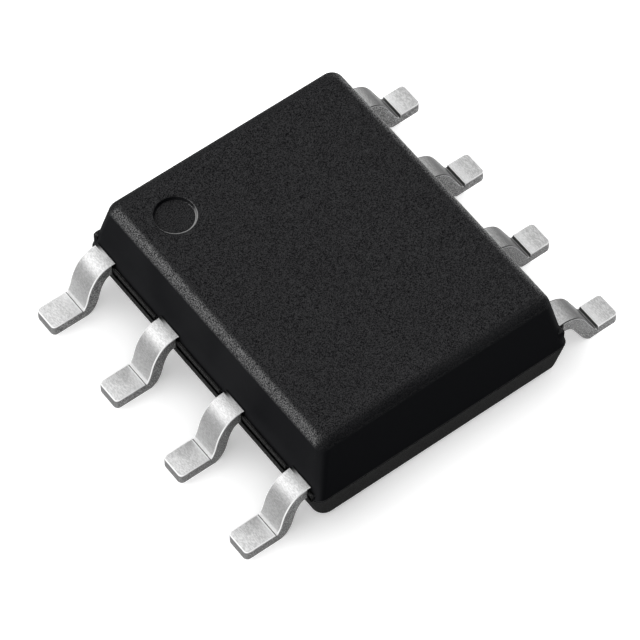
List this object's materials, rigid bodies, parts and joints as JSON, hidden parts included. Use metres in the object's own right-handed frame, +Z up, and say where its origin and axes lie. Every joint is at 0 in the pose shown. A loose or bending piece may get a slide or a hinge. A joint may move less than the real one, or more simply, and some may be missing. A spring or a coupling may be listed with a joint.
{
  "type": "surface-mount power mosfet in a small-outline package",
  "caption": "Black moulded small-outline power transistor with gull-wing leads in two rows, a round lead-one mark, and its die, lead frame and bond wires inside.",
  "frame": {"origin": "centre of the board plane that the eight feet stand on", "axes": "+X across the package towards leads 5 to 8, +Y along the rows towards leads 1 and 8, +Z up through the marked top face"},
  "size_m": [0.0054, 0.0044, 0.0014],
  "materials": {
    "resin": "matt black moulding compound, spark-eroded texture on top",
    "tinned_copper": "matt tin plate over copper alloy",
    "solder": "dull lead-grey solder",
    "silicon": "polished dark grey",
    "bond_metal": "fine satin",
    "gold_wire": "bright drawn gold"
  },
  "bodies": {
    "root": {"moulded_body": "resin", "drain_frame": "tinned_copper", "source_lead_1": "tinned_copper", "source_lead_2": "tinned_copper", "source_lead_3": "tinned_copper", "gate_lead": "tinned_copper", "die_attach": "solder", "silicon_die": "silicon", "source_pad": "bond_metal", "gate_pad": "bond_metal", "source_wire_1": "gold_wire", "source_wire_2": "gold_wire", "source_wire_3": "gold_wire", "source_wire_4": "gold_wire", "source_wire_5": "gold_wire", "source_wire_6": "gold_wire", "gate_wire": "gold_wire"}
  },
  "joints": []
}
